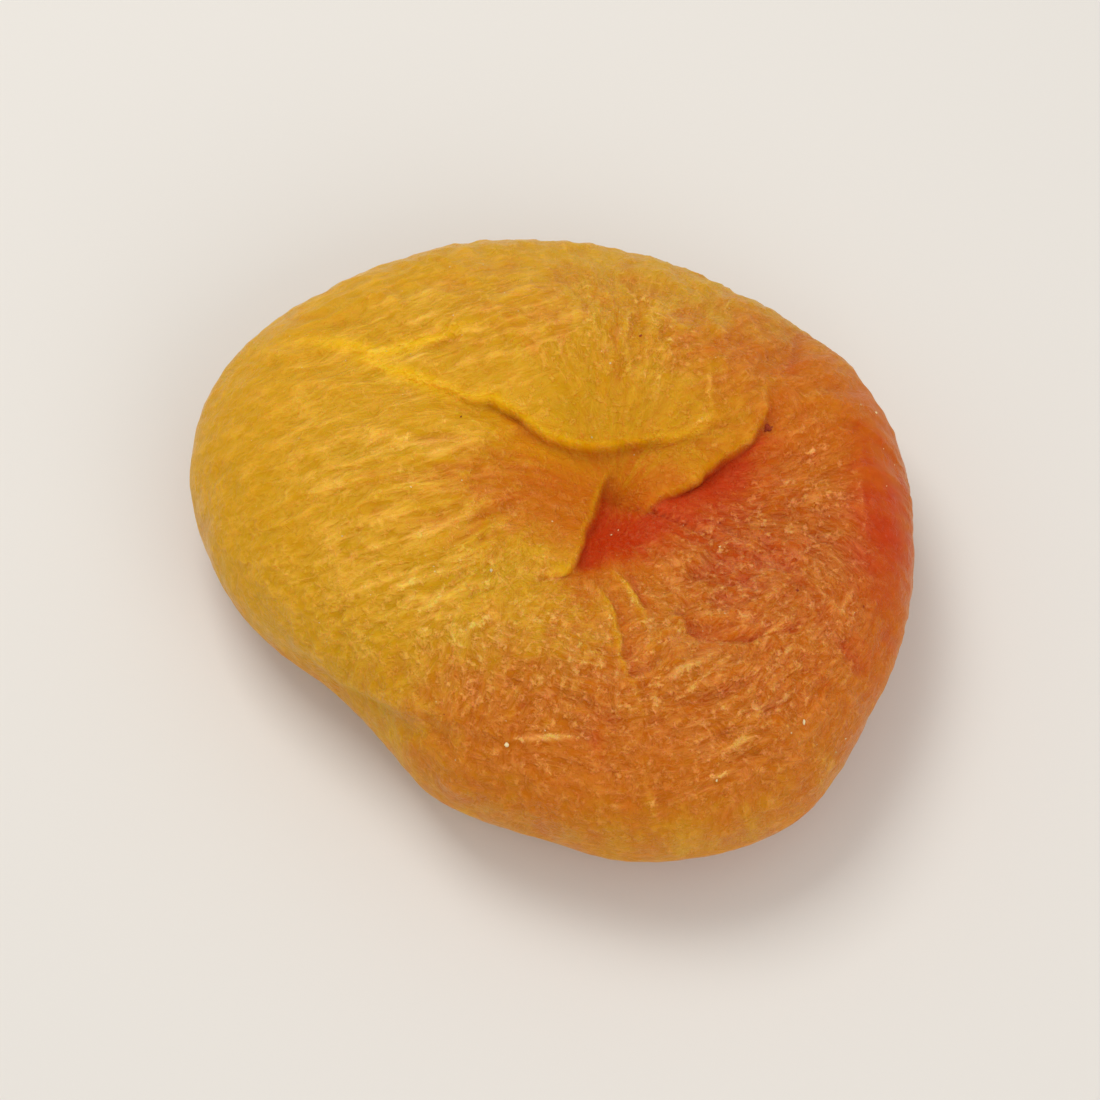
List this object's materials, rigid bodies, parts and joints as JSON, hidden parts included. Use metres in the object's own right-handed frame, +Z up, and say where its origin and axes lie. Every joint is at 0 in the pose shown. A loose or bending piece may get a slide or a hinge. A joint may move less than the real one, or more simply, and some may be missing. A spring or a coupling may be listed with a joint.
{
  "type": "dried apricot",
  "caption": "Whole stoned dried apricot, dried flat: a wrinkled pillow whose skin folds in round the stone's hole in its upper face; it lies on its underside.",
  "frame": {"origin": "under the middle of the fruit, in the plane of the surface that it lies on", "axes": "+X along the fruit's width, +Y from the lower lobe to the upper lobe of the folded face, +Z up, out of the folded face"},
  "size_m": [0.0424, 0.0392, 0.014],
  "materials": {
    "apricot_skin": "dull orange skin, slightly translucent, finely wrinkled"
  },
  "bodies": {
    "root": {"dried_apricot": "apricot_skin"}
  },
  "joints": []
}
